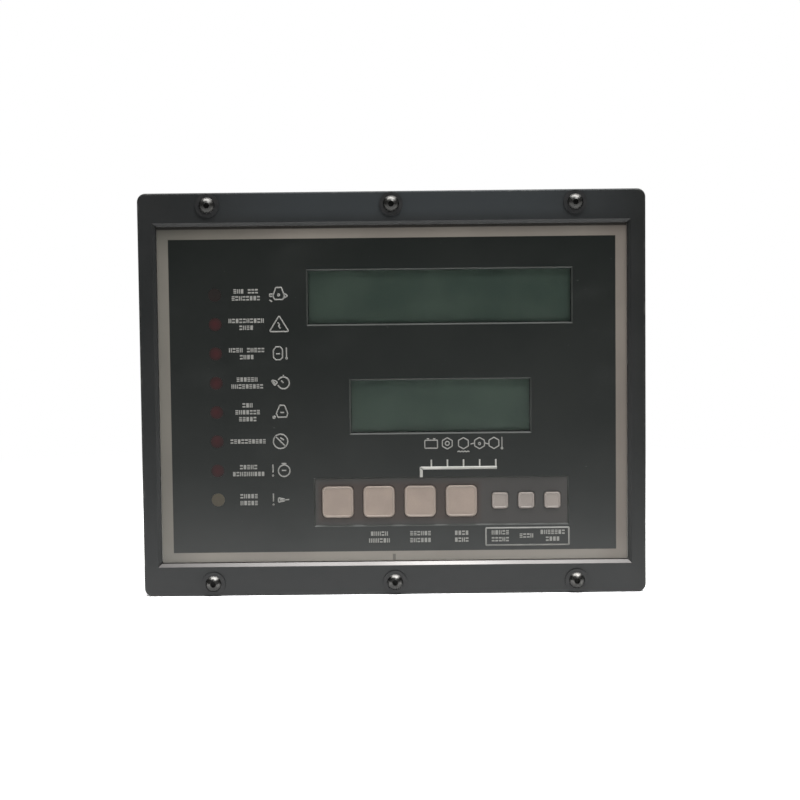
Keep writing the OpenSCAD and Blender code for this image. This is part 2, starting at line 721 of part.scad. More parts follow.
// A row of like components along X, on the front of the main board
module row(count, pitch, y) {
    for (i = [0:count - 1]) translate([(i - (count - 1) / 2) * pitch, y, main_front]) children();
}
module component(size) { translate([-size[0] / 2, -size[1] / 2, 0]) cube(size); }
module relays() color([0.15, 0.15, 0.16]) stand() row(6, relay_pitch, board_h / 4) component(relay_size);
module sensing_transformers() color([0.2, 0.25, 0.4]) stand() row(6, coil_pitch, board_h / 10)
    component(coil_size);
module power_capacitors() color([0.12, 0.16, 0.25]) stand() row(3, can_pitch, -board_h / 3)
    cylinder(d = can_d, h = can_h);
module control_chips() color([0.12, 0.12, 0.12]) stand() row(4, chip_pitch, -board_h / 10)
    component(chip_size);

module rear_housing() color([0.62, 0.62, 0.6]) stand() difference() {
    union() {
        plate(carrier_w, carrier_h, rebate_r, flange_back, flange_front);
        translate([0, 0, flange_front]) mirror([0, 0, 1])
            soft_plate(housing_w, housing_h, flange_front - wall_out, housing_corner_r, housing_edge_r);
        for (i = [0:rib_count - 1]) translate([0, housing_h / 2 - rib_top - i * rib_pitch, 0])
            plate(housing_w - 3 * housing_corner_r, rib_w, rib_w / 2 - FIT, wall_out - rib_h, wall_in);
    }
    difference() {
        plate(cavity_w, cavity_h, cavity_r, wall_in, flange_front + SKIN);
        at(COVER_FIXINGS) rod(boss_d, wall_in - SKIN, wall_in + boss_l);
    }
    at(FIXINGS) rod(fix_d + 2 * seat_gap, flange_back - SKIN, flange_front + SKIN);
    translate([0, connector_y, 0])
        plate(shroud_w + 2 * seat_gap, shroud_h + 2 * seat_gap, shroud_r, wall_out - SKIN, wall_in + SKIN);
    at(COVER_FIXINGS) rod(m3 + FIT, wall_out - SKIN, wall_in + boss_l - skin_left);
    at([GROUND]) rod(ground_d + FIT, wall_out - SKIN, wall_in + SKIN);
}

module housing_gasket() color([0.1, 0.1, 0.1]) stand() difference() {
    plate(carrier_w, carrier_h, rebate_r, flange_front, bezel_back);
    plate(cavity_w, cavity_h, cavity_r, flange_front - SKIN, bezel_back + SKIN);
    at(FIXINGS) rod(fix_d + 2 * seat_gap, flange_front - SKIN, bezel_back + SKIN);
}
module housing_screws() color([0.7, 0.7, 0.7]) stand() at(FIXINGS)
    rear_screw(fix_d, m3_head_d, m3_head_h, flange_back, fix_tip);

module harness_connector() color([0.14, 0.14, 0.15]) stand() translate([0, connector_y, 0]) {
    difference() {
        union() {
            plate(cover_w, cover_h, cover_r, plug_floor, plug_front);
            plate(shroud_w, shroud_h, shroud_r, plug_mouth, main_back);
        }
        plate(socket_w, socket_h, shroud_r - shroud_wall, plug_mouth - SKIN, plug_floor);
        translate([0, -connector_y, 0]) at(COVER_FIXINGS)
            rod(m3 + 2 * seat_gap, plug_floor - SKIN, plug_front + SKIN);
    }
    for (rib = PLUG_RIBS) translate([rib[0], rib[1] * (socket_h - plug_rib_h) / 2, 0])
        block(plug_rib_w, plug_rib_h + 2 * FIT, plug_floor - plug_rib_l, plug_floor + FIT);
    difference() {
        rod(insert_d + 2 * insert_wall, plug_floor - insert_l, plug_floor);
        rod(insert_d + FIT, plug_floor - insert_l - SKIN, plug_floor + SKIN);
    }
}
module jackscrew_insert() color([0.75, 0.62, 0.3]) stand() translate([0, connector_y, 0]) difference() {
    rod(insert_d, plug_floor - insert_l, plug_floor);
    rod(insert_bore, plug_floor - insert_l - SKIN, plug_floor + SKIN);
}
module connector_pins() color([0.8, 0.7, 0.4]) stand() translate([0, connector_y, 0])
    for (s = [-1, 1], i = [0:pin_columns - 1], j = [0:pin_rows - 1])
        translate([s * (pin_start + i * pin_pitch), (j - (pin_rows - 1) / 2) * pin_pitch, 0])
            rod(pin_d, plug_floor - pin_l, plug_floor);
module connector_gasket() color([0.5, 0.2, 0.15]) stand() difference() {
    translate([0, connector_y, 0]) difference() {
        plate(cover_w, cover_h, cover_r, plug_front, wall_out);
        plate(shroud_w + 2 * seat_gap, shroud_h + 2 * seat_gap, shroud_r, plug_front - SKIN, wall_out + SKIN);
    }
    at(COVER_FIXINGS) rod(m3 + 2 * seat_gap, plug_front - SKIN, wall_out + SKIN);
}
module connector_screws() color([0.7, 0.7, 0.7]) stand() at(COVER_FIXINGS)
    rear_screw(m3, m3_head_d, m3_head_h, plug_floor, wall_in + boss_l - 2 * skin_left);

module ground_stud() color([0.75, 0.65, 0.35]) stand() at([GROUND]) {
    rod(ground_d, wall_out - ground_reach, wall_in);
    rod(2 * ground_d, wall_in, wall_in + ground_head_h);
}
module ground_washer() color([0.75, 0.75, 0.75]) stand() at([GROUND]) difference() {
    rod(2 * ground_d, wall_out - ground_washer_t, wall_out);
    rod(ground_d + 2 * FIT, wall_out - ground_washer_t - SKIN, wall_out + SKIN);
}
module ground_nut() color([0.75, 0.65, 0.35]) stand() at([GROUND]) difference() {
    translate([0, 0, wall_out - ground_washer_t - ground_nut_h])
        cylinder(d = ground_flats / cos(30), h = ground_nut_h, $fn = 6);
    rod(ground_d + FIT, wall_out - 2 * ground_nut_h, wall_out);
}

bezel();
panel_screws();
panel_screw_washers();
screw_retainers();
panel_gasket();
front_overlay();
upper_window();
lower_window();
red_lenses();
amber_lens();
keypad_frame();
keypad_screws();
for (i = [1:large_count]) key_large(i);
for (i = [1:small_count]) key_small(i);
dome_array();
carrier_plate();
upper_lcd_frame();
upper_lcd_glass();
upper_lcd_backlight();
upper_lcd_board();
lower_lcd_frame();
lower_lcd_glass();
lower_lcd_backlight();
lower_lcd_board();
lcd_standoffs();
lcd_screws();
lcd_headers();
display_board();
red_leds();
amber_led();
board_standoffs();
board_spacers();
board_screws();
main_board();
board_link();
relays();
sensing_transformers();
power_capacitors();
control_chips();
rear_housing();
housing_gasket();
housing_screws();
harness_connector();
connector_pins();
jackscrew_insert();
connector_gasket();
connector_screws();
ground_stud();
ground_nut();
ground_washer();
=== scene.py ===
import math
import random

import bpy
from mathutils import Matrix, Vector


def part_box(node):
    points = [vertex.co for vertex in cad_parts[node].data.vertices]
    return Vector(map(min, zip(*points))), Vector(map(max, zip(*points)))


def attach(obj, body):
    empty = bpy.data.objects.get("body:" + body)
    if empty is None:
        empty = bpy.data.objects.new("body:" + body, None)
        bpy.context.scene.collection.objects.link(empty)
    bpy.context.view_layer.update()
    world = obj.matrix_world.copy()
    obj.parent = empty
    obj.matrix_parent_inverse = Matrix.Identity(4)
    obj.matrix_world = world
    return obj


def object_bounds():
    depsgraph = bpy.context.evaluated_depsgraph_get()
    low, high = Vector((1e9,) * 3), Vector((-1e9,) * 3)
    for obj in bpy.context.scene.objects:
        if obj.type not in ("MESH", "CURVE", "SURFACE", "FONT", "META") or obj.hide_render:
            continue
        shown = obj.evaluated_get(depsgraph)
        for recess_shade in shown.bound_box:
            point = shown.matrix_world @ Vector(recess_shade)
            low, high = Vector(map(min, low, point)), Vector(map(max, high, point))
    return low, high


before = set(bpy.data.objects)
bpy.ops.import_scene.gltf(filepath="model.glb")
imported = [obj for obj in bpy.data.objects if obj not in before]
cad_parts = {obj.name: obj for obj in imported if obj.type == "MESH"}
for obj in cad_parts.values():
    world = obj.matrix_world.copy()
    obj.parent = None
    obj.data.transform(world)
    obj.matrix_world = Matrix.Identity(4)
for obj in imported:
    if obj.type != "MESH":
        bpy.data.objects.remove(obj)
cad_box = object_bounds()

# Bezel: a cast frame with a mitred chamfer round its window, powder-coated in satin charcoal.
# It carries everything else and is screwed to the cabinet panel from the front.


def srgb(red, green, blue):
    """A colour given as display values from 0 to 255, as the linear colour that a socket takes."""
    parts = [v / 255 for v in (red, green, blue)]
    linear = [v / 12.92 if v <= 0.04045 else ((v + 0.055) / 1.055) ** 2.4 for v in parts]
    return (*linear, 1.0)


class Value:
    """A socket of a tree, with arithmetic that adds Math nodes to that tree."""

    def __init__(self, tree, socket):
        self.tree = tree
        self.socket = socket

    def math(self, operation, first, second=None):
        return self.tree.add("ShaderNodeMath", {"operation": operation}, {0: first, 1: second})

    def __add__(self, other):
        return self.math("ADD", self, other)

    def __sub__(self, other):
        return self.math("SUBTRACT", self, other)

    def __rsub__(self, other):
        return self.math("SUBTRACT", other, self)

    def __mul__(self, other):
        return self.math("MULTIPLY", self, other)

    def __abs__(self):
        return self.math("ABSOLUTE", self)

    __radd__ = __add__
    __rmul__ = __mul__

    def hypot(self, other):
        """The length of two parts that stand at right angles."""
        return self.math("SQRT", self * self + other * other)

    def most(self, other):
        return self.math("MAXIMUM", self, other)

    def least(self, other):
        return self.math("MINIMUM", self, other)

    def fold(self, pitch):
        """The distance to the nearest whole number of pitches."""
        return self.math("PINGPONG", self, pitch / 2)

    def rise(self, low, high):
        """Goes smoothly from 0 at low to 1 at high."""
        settings = {"interpolation_type": "SMOOTHSTEP"}
        return self.tree.add("ShaderNodeMapRange", settings, {0: self, 1: low, 2: high})


class Tree:
    """A node tree whose nodes are added with their settings and sockets in one call."""

    def __init__(self, node_tree):
        self.nodes = node_tree.nodes
        self.links = node_tree.links

    def feed(self, socket, value):
        """Links a value to a socket, or sets the socket to a plain number, colour or vector."""
        if isinstance(value, Value):
            self.links.new(value.socket, socket)
        elif value is not None:
            socket.default_value = value

    def add(self, kind, settings=None, sockets=None, out=0):
        """A new node's output, with the node's settings set first and then its sockets."""
        node = self.nodes.new(kind)
        for name, value in (settings or {}).items():
            setattr(node, name, value)
        for name, value in (sockets or {}).items():
            self.feed(node.inputs[name], value)
        return Value(self, node.outputs[out] if node.outputs else None)

    def blend(self, share, first, second):
        """A mix of two colours."""
        return self.add("ShaderNodeMix", {"data_type": "RGBA"}, {0: share, 6: first, 7: second}, 2)

    def axes(self, vector):
        split = self.add("ShaderNodeSeparateXYZ", sockets={0: vector}).socket.node
        return [Value(self, socket) for socket in split.outputs]


class Finish(Tree):
    """A material on the Principled shader; x, y and z are the spot on the object, in millimetres."""

    def __init__(self, name, **constants):
        self.material = bpy.data.materials.new(name)
        self.material.use_nodes = True
        super().__init__(self.material.node_tree)
        self.shader = self.nodes["Principled BSDF"]
        for key, value in constants.items():
            self.set(key.replace("_", " ").title().replace("Ior", "IOR"), value)
        spot = self.add("ShaderNodeTexCoord", out="Object")
        self.place = self.add("ShaderNodeVectorMath", {"operation": "SCALE"}, {0: spot, "Scale": 1000.0})
        self.x, self.y, self.z = self.axes(self.place)

    def set(self, socket, value):
        self.feed(self.shader.inputs[socket], value)

    def noise(self, size, detail=2.0, stretch=(1, 1, 1)):
        """Soft random spots about size millimetres across."""
        spot = self.add("ShaderNodeVectorMath", {"operation": "DIVIDE"},
                        {0: self.place, 1: [size * s for s in stretch]})
        return self.add("ShaderNodeTexNoise", sockets={"Vector": spot, "Scale": 1.0, "Detail": detail})

    def bump(self, height, depth):
        """Raises the surface by up to depth millimetres where height is 1."""
        self.set("Normal", self.add("ShaderNodeBump", sockets={"Distance": depth / 1000, "Height": height}))

    def mottle(self, share, dark, light):
        """A colour between dark and light, by the middle range of a noise."""
        return self.blend(share.rise(0.3, 0.7), dark, light)

    def facing(self):
        """The parts of the surface's own direction along X, Y and Z."""
        return self.axes(self.add("ShaderNodeTexCoord", out="Normal"))


def wear(finish, *nodes):
    """Gives a finish to CAD nodes."""
    for name in nodes:
        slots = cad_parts[name].data.materials
        slots.clear()
        slots.append(finish.material)


bezel_low, bezel_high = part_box("bezel")
bezel_front = 1000 * bezel_low.y
bezel_half_w, bezel_half_h = [1000 * bezel_high[axis] for axis in (0, 2)]
chamfer_w = 2.0
lip_margin = 2.4
lip_half_w, lip_half_h = [1000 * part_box("front_overlay")[1][axis] + lip_margin for axis in (0, 2)]
bezel_paint = Finish("bezel_paint", specular_ior_level=0.36, coat_roughness=0.14, coat_ior=2.2)
patches = bezel_paint.noise(45.0, 4.0)
peel = bezel_paint.noise(1.1, 3.0)
from_side = bezel_half_w - abs(bezel_paint.x)
from_end = bezel_half_h - abs(bezel_paint.z)
from_front = bezel_paint.y - bezel_front
edge = (1.0 - from_side.least(from_end).rise(0.1, 1.6)) * (1.0 - from_front.rise(0.5, 2.1))
edge_wear_and_head_highlight = edge * bezel_paint.noise(7.0, 6.0).rise(0.5, 0.72)
lip = (lip_half_w - abs(bezel_paint.x)).least(lip_half_h - abs(bezel_paint.z)).rise(0.0, 0.3)
# Painted shade: the window's inner wall behind the chamfer is darkened nearly to black.
recess_shade = lip * (from_front - chamfer_w).rise(-0.1, 0.5)
# Painted highlight: the upward chamfer under the window is lifted toward a warm pale tone, strongest a
# little right of the middle; the same profile also sets its coat gloss.
broad_glint_x = 20.0
hot_glint_x = 32.0
broad_glint = 1.0 - abs(bezel_paint.x - broad_glint_x).rise(20.0, 200.0)
hot_glint = 1.0 - abs(bezel_paint.x - hot_glint_x).rise(10.0, 50.0)
glint_and_gloss = broad_glint * 0.68 + hot_glint * 0.32
streaks = bezel_paint.noise(9.0, 5.0, (6, 1, 1)) * 0.5 + 0.7
polish_and_glint = lip * bezel_paint.facing()[2].rise(0.4, 0.6) * streaks
paint = bezel_paint.mottle(patches, srgb(27, 29, 29), srgb(34, 35, 35))
# Painted shade: the right rail is darkened toward its outer edge.
right_rail_shade = bezel_paint.x.rise(bezel_half_w - 14.5, bezel_half_w - 0.5)
paint = bezel_paint.blend(right_rail_shade * 0.5, paint, srgb(14, 16, 13))
dust_x = 10.0
top_rail = bezel_paint.z.rise(bezel_half_h - 20.5, bezel_half_h - 10.5)
dusty = top_rail * (1.0 - abs(bezel_paint.x - dust_x).rise(60.0, 150.0))
paint = bezel_paint.blend(dusty * 0.9, paint, srgb(49, 53, 55))
chipped = bezel_paint.blend(edge_wear_and_head_highlight * 0.5, paint, srgb(112, 111, 108))
# The painted highlight goes on the upward chamfer here.
paint_with_glint = bezel_paint.blend(polish_and_glint * (glint_and_gloss * 0.4 + 0.1), chipped, srgb(134, 112, 100))
bezel_paint.set("Base Color", bezel_paint.blend(recess_shade * 0.8, paint_with_glint, srgb(16, 16, 16)))
bezel_paint.set("Roughness", patches * 0.1 + peel * 0.06 + 0.32 - polish_and_glint * 0.18)
bezel_paint.set("Coat Weight", polish_and_glint * glint_and_gloss)
bezel_paint.bump(peel, 0.01)
wear(bezel_paint, "bezel")

# Panel screws: six black button-head screws on wide turned washers, kept in by nylon rings.
# Each head has a painted highlight on its upper side and painted shade on its rim and lower half, and the
# gasket behind the bezel is die-cut black rubber.


def surface(name, dark, light, rough, patch=20.0, grain=0.6, depth=0.01, **constants):
    """A finish that wanders between two colours, with uneven gloss and a fine grain.

    Its patches and its grain are that many millimetres wide, and the grain stands up by depth.
    """
    gloss_spread = 0.12
    finish = Finish(name, **constants)
    patches = finish.noise(patch, 4.0)
    fine = finish.noise(grain)
    finish.set("Base Color", finish.mottle(patches * 0.7 + fine * 0.3, dark, light))
    finish.set("Roughness", patches * gloss_spread + (rough - gloss_spread / 2))
    finish.bump(fine, depth)
    return finish


screw_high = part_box("panel_screws")[1]
head_r = 4.75
socket_r = 1.75
screw_x, screw_z = [1000 * screw_high[axis] - head_r for axis in (0, 2)]
screw_black = Finish("screw_black", metallic=0.8)
off_x = abs(screw_black.x).least(abs(abs(screw_black.x) - screw_x))
off_z = abs(abs(screw_black.z) - screw_z)
off_axis = off_x.hypot(off_z)
head_rim_shade = off_axis.rise(head_r - 1.35, head_r - 0.35)
grime = 1.0 - off_axis.rise(socket_r - 0.1, socket_r + 0.15)
scuffs = screw_black.noise(1.4, 5.0)
oxide_and_shade = screw_black.blend(scuffs.rise(0.3, 0.75), srgb(62, 62, 61), srgb(78, 77, 75))
# Painted shade: the outer rim of each head and its downward-facing half are darkened.
oxide_and_shade = screw_black.blend(head_rim_shade * 0.8, oxide_and_shade, srgb(38, 39, 38))
slope = screw_black.facing()[2]
oxide_and_shade = screw_black.blend((0.0 - slope).rise(0.1, 0.4) * 0.7, oxide_and_shade, srgb(36, 36, 35))
# Painted highlight: the upward-facing part of each head is lightened toward pale grey.
edge_wear_and_head_highlight = screw_black.blend(slope.rise(0.45, 0.7) * 0.8, oxide_and_shade, srgb(142, 140, 137))
screw_black.set("Base Color", screw_black.blend(grime, edge_wear_and_head_highlight, srgb(30, 30, 29)))
screw_black.set("Roughness", scuffs * 0.12 + grime * 0.4 + 0.22)
wear(screw_black, "panel_screws")
washer_black = surface("washer_black", srgb(34, 35, 36), srgb(46, 46, 46), 0.45, 4.0, 0.4, 0.004,
                       metallic=0.2, specular_ior_level=0.36)
wear(washer_black, "panel_screw_washers")
nylon = surface("retainer_nylon", srgb(214, 211, 200), srgb(226, 224, 214), 0.5)
wear(nylon, "screw_retainers")
rubber = surface("gasket_rubber", srgb(28, 28, 28), srgb(42, 41, 40), 0.75, 6.0, 0.4, 0.02)
wear(rubber, "panel_gasket")

# Threads of the panel screws: rolled turns round each shank, from the bezel's back to near its tip.
# One helix is swept and set on the axis of every screw.


def geometry_tree(name, **sockets):
    """A geometry tree with one geometry input and the named inputs, and what those inputs give."""
    group = bpy.data.node_groups.new(name, "GeometryNodeTree")
    group.interface.new_socket("Geometry", in_out="INPUT", socket_type="NodeSocketGeometry")
    for label, kind in sockets.items():
        group.interface.new_socket(label, in_out="INPUT", socket_type=f"NodeSocket{kind}")
    group.interface.new_socket("Geometry", in_out="OUTPUT", socket_type="NodeSocketGeometry")
    tree = Tree(group)
    given = tree.add("NodeGroupInput").socket.node.outputs
    return group, tree, {socket.name: Value(tree, socket) for socket in given}


def close_tree(tree, shape, finish):
    """Ends a geometry tree with plain geometry in one material."""
    plain = tree.add("GeometryNodeRealizeInstances", sockets={"Geometry": shape})
    painted = tree.add("GeometryNodeSetMaterial", sockets={"Geometry": plain, "Material": finish})
    tree.add("NodeGroupOutput", sockets={"Geometry": painted})


def realise(name, mesh, group, slot, **inputs):
    """A plain mesh piece on the chassis: what a geometry tree makes of a mesh of points or lines."""
    piece = bpy.data.objects.new(name, mesh)
    bpy.context.scene.collection.objects.link(piece)
    modifier = piece.modifiers.new(name, "NODES")
    modifier.node_group = group
    for item in group.interface.items_tree:
        if item.in_out == "INPUT" and item.name in inputs:
            modifier[item.identifier] = inputs[item.name]
    made = piece.evaluated_get(bpy.context.evaluated_depsgraph_get())
    plain = bpy.data.meshes.new_from_object(made)
    plain.materials.clear()
    plain.materials.append(inputs["finish"])
    piece.modifiers.remove(modifier)
    piece.data = plain
    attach(piece, "chassis")


def points_mesh(name, points):
    """A mesh of loose points, on which a geometry tree sets its copies."""
    mesh = bpy.data.meshes.new(name)
    mesh.from_pydata(points, [], [])
    return mesh


turn_steps = 20
crest_sides = 4
thread_tree, tree, given = geometry_tree(
    "thread_tree", radius="Float", turns="Float", length="Float", ridge="Float", finish="Material")
helix = tree.add("GeometryNodeCurveSpiral", sockets={
    "Resolution": turn_steps, "Rotations": given["turns"], "Start Radius": given["radius"],
    "End Radius": given["radius"], "Height": given["length"]})
crest = tree.add("GeometryNodeCurvePrimitiveCircle", sockets={
    "Resolution": crest_sides, "Radius": given["ridge"]})
turns = tree.add("GeometryNodeCurveToMesh", sockets={
    "Curve": helix, "Profile Curve": crest, "Fill Caps": True})
laid = tree.add("GeometryNodeTransform", sockets={
    "Geometry": turns, "Rotation": (math.radians(-90), 0, 0)})
close_tree(tree, tree.add("GeometryNodeInstanceOnPoints", sockets={
    "Points": given["Geometry"], "Instance": laid}), given["finish"])

screw_thread_r = 0.0024
screw_pitch = 0.0008
screw_ridge = 0.00032
screw_thread_start = 0.0005
screw_end = 0.0005
screw_thread_l = screw_high.y - screw_thread_start - screw_end
axes = [(i * screw_x / 1000, screw_thread_start, s * screw_z / 1000) for i in (-1, 0, 1) for s in (-1, 1)]
realise("panel_screw_threads", points_mesh("panel_screw_axes", axes), thread_tree, "black_steel",
        radius=screw_thread_r, turns=screw_thread_l / screw_pitch, length=screw_thread_l,
        ridge=screw_ridge, finish=screw_black.material)

# Front overlay: printed polyester sheet, a warm grey border round a dark satin field.
# Its cut-outs are bevelled, and the bevels show the paler core of the sheet.
field_half_w = 133.0
field_top = 93.0
field_bottom = -94.8
overlay_top = 1000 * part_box("front_overlay")[1].z
overlay_film = Finish("overlay_film", specular_ior_level=0.42)
patches = overlay_film.noise(60.0, 4.0)
fine = overlay_film.noise(0.5)
smudge = overlay_film.noise(26.0, 5.0, (1.6, 1, 0.8)).rise(0.5, 0.8)
left_of_field = 0.0 - overlay_film.x - field_half_w
right_of_field = overlay_film.x - field_half_w
above_field = overlay_film.z - field_top
below_field = field_bottom - overlay_film.z
outside = left_of_field.most(right_of_field).most(above_field).most(below_field)
inside = 1.0 - outside.rise(-0.15, 0.15)
border = overlay_film.mottle(patches, srgb(130, 124, 116), srgb(142, 136, 127))
# Painted light: the bottom part of the border is lightened.
foot_light = below_field.rise(-10.8, 5.2)
left_side = left_of_field.rise(-23.0, 5.0)
right_side = right_of_field.rise(-23.0, 5.0)
# Painted shade: the top border darkens toward its left end.
top_left_shade = left_of_field.rise(-78.0, -23.0) * above_field.rise(-13.0, 3.0)
border = overlay_film.blend(foot_light * 0.3, border, srgb(156, 152, 145))
border = overlay_film.blend(left_side * 0.4, border, srgb(92, 94, 88))
border = overlay_film.blend(right_side * 0.3, border, srgb(106, 94, 88))
border = overlay_film.blend(top_left_shade * 0.5, border, srgb(90, 90, 82))
stroke_x = -0.4
stroke_z = -98.5
stroke_half_w = 1.1
stroke_half_h = 2.2
stroke_side = stroke_half_w - abs(overlay_film.x - stroke_x)
stroke = stroke_side.least(stroke_half_h - abs(overlay_film.z - stroke_z)).rise(0.0, 0.5)
# Painted shade: a dark band along the top edge of the sheet, under the bezel's upper wall; the stroke mark
# on the lower border is a real mark and shares its colour.
top_edge_shade = overlay_film.z.rise(overlay_top - 1.9, overlay_top - 1.4)
border = overlay_film.blend((stroke * 0.55).most(top_edge_shade * 0.9), border, srgb(34, 32, 30))
field = overlay_film.mottle(patches, srgb(20, 24, 22), srgb(28, 31, 29))
specks = overlay_film.noise(2.6, 3.0, (1.8, 1, 1)).rise(0.72, 0.78)
field = overlay_film.blend(specks * 0.3, field, srgb(110, 112, 108))
film = overlay_film.blend(inside, border, field)
bevel = 1.0 - abs(overlay_film.facing()[1]).rise(0.8, 0.97)
overlay_film.set("Base Color", overlay_film.blend(bevel * inside, film, srgb(56, 59, 56)))
overlay_film.set("Roughness", smudge * 0.1 + fine * 0.05 + 0.27)
overlay_film.bump(fine, 0.004)
wear(overlay_film, "front_overlay")

# Print on the overlay: pale ink in thin raised lines and blocks, silk-screened on the field.
# The symbols, the scale and the box round the small keys' legends are strokes along paths.
print_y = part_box("front_overlay")[0].y
ink_t = 0.00006
ink = surface("legend_ink", srgb(142, 142, 138), srgb(158, 157, 152), 0.5, 6.0, 0.4, 0.004)
bright_ink = surface("scale_ink", srgb(178, 178, 172), srgb(194, 193, 187), 0.5, 6.0, 0.4, 0.004)

fillet_steps = 4
line_tree, tree, given = geometry_tree(
    "print_lines", line_w="Float", ink_t="Float", corner_r="Float", finish="Material")
path = tree.add("GeometryNodeMeshToCurve", sockets={"Mesh": given["Geometry"]})
eased = tree.add("GeometryNodeFilletCurve", {"mode": "POLY"}, {
    "Curve": path, "Count": fillet_steps, "Radius": given["corner_r"], "Limit Radius": True})
upright = tree.add("GeometryNodeSetCurveNormal", {"mode": "FREE"}, {
    "Curve": eased, "Normal": (0, 1, 0)})
section = tree.add("GeometryNodeCurvePrimitiveQuadrilateral", sockets={
    "Width": given["ink_t"], "Height": given["line_w"]})
close_tree(tree, tree.add("GeometryNodeCurveToMesh", sockets={
    "Curve": upright, "Profile Curve": section, "Fill Caps": True}), given["finish"])


def line(*points):
    """An open stroke through points given as x and z in millimetres, as all strokes are."""
    return list(points), False


def loop(*points):
    """A closed stroke."""
    return list(points), True


def arc(x, z, r, start, stop, steps=12):
    """An open stroke round a point, from one angle to another in degrees."""
    turn = [math.radians(start + (stop - start) * i / steps) for i in range(steps + 1)]
    return [(x + r * math.cos(a), z + r * math.sin(a)) for a in turn], False


def ring(x, z, r, sides=20):
    """A closed round stroke, or a regular shape of so many sides."""
    return arc(x, z, r, 90, 450 - 360 / sides, sides - 1)[0], True


def moved(strokes, x, z, scale=1.0):
    """Strokes that were drawn round the origin, scaled and set round a point."""
    return [([(px * scale + x, pz * scale + z) for px, pz in points], closed)
            for points, closed in strokes]


def print_lines(name, strokes, line_w, finish, corner_r=0.0005):
    """Strokes given in millimetres as seen from the front, as one raised print."""
    points, edges = [], []
    for stroke, closed in strokes:
        first, last = len(points), len(points) + len(stroke) - 1
        points += [(x / 1000, print_y - ink_t / 2, z / 1000) for x, z in stroke]
        edges += [(i, i + 1) for i in range(first, last)]
        edges += [(last, first)] if closed else []
    mesh = bpy.data.meshes.new(name + "_paths")
    mesh.from_pydata(points, edges, [])
    realise(name, mesh, line_tree, "overlay_film", line_w=line_w, ink_t=ink_t, corner_r=corner_r,
            finish=finish.material)


def middle(node):
    """The x and z of a CAD node's middle, in millimetres."""
    low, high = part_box(node)
    return 500 * (low.x + high.x), 500 * (low.z + high.z)


lens_low, lens_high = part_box("red_lenses")
lamp_x, amber_z = middle("amber_lens")
lamp_top = 1000 * lens_high.z - 500 * (lens_high.x - lens_low.x)
row_count = 8
row_pitch = (lamp_top - amber_z) / (row_count - 1)
rows = [lamp_top - row_pitch * i for i in range(row_count)]
symbol_gap = 38.1
legend_gap = 18.5
symbol_x = lamp_x + symbol_gap
legend_x = lamp_x + legend_gap
thermometer = [line((0, 3.6), (0, -2.4)), ring(0, -3.2, 0.5, 8)]
alert = [line((-5.3, 3.8), (-5.3, -1.4)), ring(-5.3, -3.4, 0.3, 8)]
drop = loop((0, 1.4), (0.7, -0.6), (0, -1.1), (-0.7, -0.6))
row_symbols = [
    [loop((-1.8, 4.4), (1.8, 4.4), (3.7, -1.0), (2.6, -3.2), (-2.6, -3.2), (-3.7, -1.0)), drop,
     line((3.3, 0.6), (5.9, -0.9), (3.5, -2.2)),
     line((-3.4, 0.2), (-5.7, 0.3), (-5.7, -1.2), (-3.6, -1.3)), line((-5.9, -3.4), (-4.2, -4.6))],
    [loop((0, 5.2), (6.2, -4.9), (-6.2, -4.9)),
     line((-0.9, 1.0), (0.5, -0.7), (-0.5, -1.2), (0.9, -2.9))],
    [loop((-3.9, 2.0), (-2.2, 4.1), (0.4, 4.1), (1.9, 2.4),
          (1.9, -2.6), (0.4, -4.1), (-2.4, -4.1), (-3.9, -2.6)),
     line((-2.2, -0.3), (0.4, -0.3)), *moved(thermometer, 4.4, 0)],
    [loop((-5.7, 1.7), (-3.0, 1.2), (-1.5, 0.1), (-3.4, -1.9)), line((-4.8, 1.0), (-3.0, -0.6)),
     arc(2.2, -0.2, 3.8, -160, 150), line((2.2, -0.2), (0.8, 1.4)), line((2.2, 3.6), (2.2, 5.0))],
    [loop((-0.4, 4.2), (2.6, 4.2), (4.7, -1.0), (3.8, -3.4), (-1.6, -3.4), (-2.6, -1.0)),
     line((0, -0.4), (2.4, -0.4)), loop((-2.2, -2.0), (-5.4, -3.2), (-4.0, -4.2))],
    [ring(-0.2, -0.2, 4.6), line((-3.4, 3.0), (3.0, -3.4)), line((-0.4, 2.2), (2.0, 0.6))],
    [*alert, ring(1.8, -0.4, 3.7), line((0.3, 4.2), (3.3, 4.2)), line((0.4, -0.2), (3.2, -0.2))],
    [*alert, loop((-2.1, 0.9), (-2.1, -1.9), (1.8, -1.0), (1.8, 0.2)), line((1.8, -0.4), (4.8, -0.2)),
     line((-1.2, -0.5), (1.2, -0.4))],
]
symbol_scale = 0.94
symbol_line_w = 0.00078
strokes = [s for symbol, z in zip(row_symbols, rows) for s in moved(symbol, symbol_x, z, symbol_scale)]
print_lines("row_symbols", strokes, symbol_line_w, ink)

pane_lap = 1.0
display_foot = 1000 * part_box("lower_window")[0].z + pane_lap
scale_pitch = 9.65
scale_left = middle("lower_window")[0] - 5.8
scale_x = [scale_left + i * scale_pitch for i in range(5)]
cell = ring(0, 0, 3.4, 6)
scale_symbols = [
    [loop((-3.8, 2.0), (3.8, 2.0), (3.8, -2.8), (-3.8, -2.8)), line((-2.6, 2.9), (-1.2, 2.9)),
     line((1.2, 2.9), (2.6, 2.9))],
    [cell, ring(0, 0, 1.2, 12)],
    [cell, line(*[(0.9 * i, -5.2 + 0.5 * (i % 2)) for i in range(-4, 5)])],
    [cell, drop, line((-5.4, -0.6), (-3.2, 0)), line((3.2, 0), (5.4, -0.6))],
    moved([cell], -1.0, 0) + moved(thermometer, 3.8, 0),
]
scale_symbol_z = display_foot - 5.8
scale_line_w = 0.00066
strokes = [s for symbol, x in zip(scale_symbols, scale_x) for s in moved(symbol, x, scale_symbol_z)]
print_lines("scale_symbols", strokes, scale_line_w, ink)

